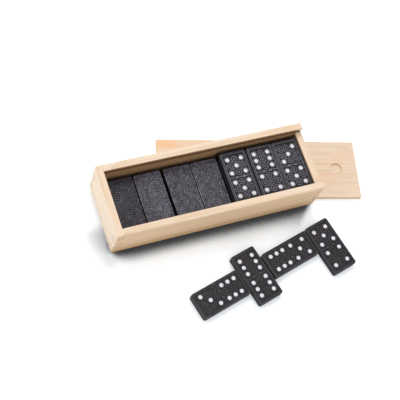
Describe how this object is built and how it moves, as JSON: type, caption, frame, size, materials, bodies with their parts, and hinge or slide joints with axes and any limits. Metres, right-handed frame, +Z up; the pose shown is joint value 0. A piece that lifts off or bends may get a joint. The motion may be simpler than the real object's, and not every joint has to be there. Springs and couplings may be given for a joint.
{
  "type": "domino storage box",
  "caption": "Finger-jointed pine box standing on its sliding lid, packed with columns of black moulded dominoes with white pips, and the start of a domino chain laid out in front of it.",
  "frame": {"origin": "on the table, under the middle of the box's footprint; the lid's underside lies in the plane Z = 0", "axes": "+X along the box towards its low end, +Y to the back of the box, away from the loose tiles, +Z up"},
  "size_m": [0.2083, 0.1399, 0.033],
  "materials": {
    "pine": "sanded, unvarnished",
    "lid_pine": "planed, unvarnished",
    "black_plastic": "moulded satin",
    "white_paint": "white pip paint"
  },
  "bodies": {
    "box": {"bottom_panel": "pine", "side_wall_front": "pine", "side_wall_back": "pine", "end_wall_closed": "pine", "end_wall_low": "pine"},
    "lid": {"lid": "lid_pine"},
    "tile_0_1": {"tile_0_1": "black_plastic"},
    "tile_2_4": {"tile_2_4": "black_plastic"},
    "tile_1_6": {"tile_1_6": "black_plastic"},
    "tile_3_3": {"tile_3_3": "black_plastic"},
    "tile_0_5": {"tile_0_5": "black_plastic"},
    "tile_1_2": {"tile_1_2": "black_plastic"},
    "tile_2_6": {"tile_2_6": "black_plastic"},
    "tile_0_0": {"tile_0_0": "black_plastic"},
    "tile_1_4": {"tile_1_4": "black_plastic"},
    "tile_4_4": {"tile_4_4": "black_plastic"},
    "tile_1_3": {"tile_1_3": "black_plastic"},
    "tile_0_2": {"tile_0_2": "black_plastic"},
    "tile_2_3": {"tile_2_3": "black_plastic"},
    "tile_0_6": {"tile_0_6": "black_plastic"},
    "tile_1_1": {"tile_1_1": "black_plastic"},
    "tile_5_5": {"tile_5_5": "black_plastic"},
    "tile_1_5": {"tile_1_5": "black_plastic"},
    "tile_3_4": {"tile_3_4": "black_plastic"},
    "tile_0_3": {"tile_0_3": "black_plastic"},
    "tile_4_6": {"tile_4_6": "black_plastic"},
    "tile_2_5": {"tile_2_5": "black_plastic"},
    "tile_0_4": {"tile_0_4": "black_plastic"},
    "tile_2_2": {"tile_2_2": "black_plastic"},
    "tile_3_5": {"tile_3_5": "black_plastic"},
    "tile_3_6": {"tile_3_6": "black_plastic"},
    "tile_6_6": {"tile_6_6": "black_plastic"},
    "tile_5_6": {"tile_5_6": "black_plastic"},
    "tile_4_5": {"tile_4_5": "black_plastic"}
  },
  "joints": [
    {"name": "lid_slide", "type": "slide", "parent": "box", "child": "lid", "axis": [0.9724, -0.2334, 0], "range_m": [0, 0.04]},
    {"name": "tile_0_1_lift", "type": "slide", "parent": "box", "child": "tile_0_1", "axis": [0, 0, 1], "range_m": [0, 0.03]},
    {"name": "tile_2_4_lift", "type": "slide", "parent": "tile_0_1", "child": "tile_2_4", "axis": [0, 0, 1], "range_m": [0, 0.03]},
    {"name": "tile_1_6_lift", "type": "slide", "parent": "tile_2_4", "child": "tile_1_6", "axis": [0, 0, 1], "range_m": [0, 0.03]},
    {"name": "tile_3_3_lift", "type": "slide", "parent": "box", "child": "tile_3_3", "axis": [0, 0, 1], "range_m": [0, 0.03]},
    {"name": "tile_0_5_lift", "type": "slide", "parent": "tile_3_3", "child": "tile_0_5", "axis": [0, 0, 1], "range_m": [0, 0.03]},
    {"name": "tile_1_2_lift", "type": "slide", "parent": "tile_0_5", "child": "tile_1_2", "axis": [0, 0, 1], "range_m": [0, 0.03]},
    {"name": "tile_2_6_lift", "type": "slide", "parent": "box", "child": "tile_2_6", "axis": [0, 0, 1], "range_m": [0, 0.03]},
    {"name": "tile_0_0_lift", "type": "slide", "parent": "tile_2_6", "child": "tile_0_0", "axis": [0, 0, 1], "range_m": [0, 0.03]},
    {"name": "tile_1_4_lift", "type": "slide", "parent": "tile_0_0", "child": "tile_1_4", "axis": [0, 0, 1], "range_m": [0, 0.03]},
    {"name": "tile_4_4_lift", "type": "slide", "parent": "box", "child": "tile_4_4", "axis": [0, 0, 1], "range_m": [0, 0.03]},
    {"name": "tile_1_3_lift", "type": "slide", "parent": "tile_4_4", "child": "tile_1_3", "axis": [0, 0, 1], "range_m": [0, 0.03]},
    {"name": "tile_0_2_lift", "type": "slide", "parent": "tile_1_3", "child": "tile_0_2", "axis": [0, 0, 1], "range_m": [0, 0.03]},
    {"name": "tile_2_3_lift", "type": "slide", "parent": "box", "child": "tile_2_3", "axis": [0, 0, 1], "range_m": [0, 0.03]},
    {"name": "tile_0_6_lift", "type": "slide", "parent": "tile_2_3", "child": "tile_0_6", "axis": [0, 0, 1], "range_m": [0, 0.03]},
    {"name": "tile_1_1_lift", "type": "slide", "parent": "tile_0_6", "child": "tile_1_1", "axis": [0, 0, 1], "range_m": [0, 0.03]},
    {"name": "tile_5_5_lift", "type": "slide", "parent": "tile_1_1", "child": "tile_5_5", "axis": [0, 0, 1], "range_m": [0, 0.03]},
    {"name": "tile_1_5_lift", "type": "slide", "parent": "box", "child": "tile_1_5", "axis": [0, 0, 1], "range_m": [0, 0.03]},
    {"name": "tile_3_4_lift", "type": "slide", "parent": "tile_1_5", "child": "tile_3_4", "axis": [0, 0, 1], "range_m": [0, 0.03]},
    {"name": "tile_0_3_lift", "type": "slide", "parent": "tile_3_4", "child": "tile_0_3", "axis": [0, 0, 1], "range_m": [0, 0.03]},
    {"name": "tile_4_6_lift", "type": "slide", "parent": "tile_0_3", "child": "tile_4_6", "axis": [0, 0, 1], "range_m": [0, 0.03]},
    {"name": "tile_2_5_lift", "type": "slide", "parent": "box", "child": "tile_2_5", "axis": [0, 0, 1], "range_m": [0, 0.03]},
    {"name": "tile_0_4_lift", "type": "slide", "parent": "tile_2_5", "child": "tile_0_4", "axis": [0, 0, 1], "range_m": [0, 0.03]},
    {"name": "tile_2_2_lift", "type": "slide", "parent": "tile_0_4", "child": "tile_2_2", "axis": [0, 0, 1], "range_m": [0, 0.03]},
    {"name": "tile_3_5_lift", "type": "slide", "parent": "tile_2_2", "child": "tile_3_5", "axis": [0, 0, 1], "range_m": [0, 0.03]},
    {"name": "tile_3_6_lift", "type": "slide", "parent": "box", "child": "tile_3_6", "axis": [0, 0, 1], "range_m": [0, 0.03]},
    {"name": "tile_6_6_lift", "type": "slide", "parent": "box", "child": "tile_6_6", "axis": [0, 0, 1], "range_m": [0, 0.03]},
    {"name": "tile_5_6_lift", "type": "slide", "parent": "box", "child": "tile_5_6", "axis": [0, 0, 1], "range_m": [0, 0.03]},
    {"name": "tile_4_5_lift", "type": "slide", "parent": "box", "child": "tile_4_5", "axis": [0, 0, 1], "range_m": [0, 0.03]}
  ]
}
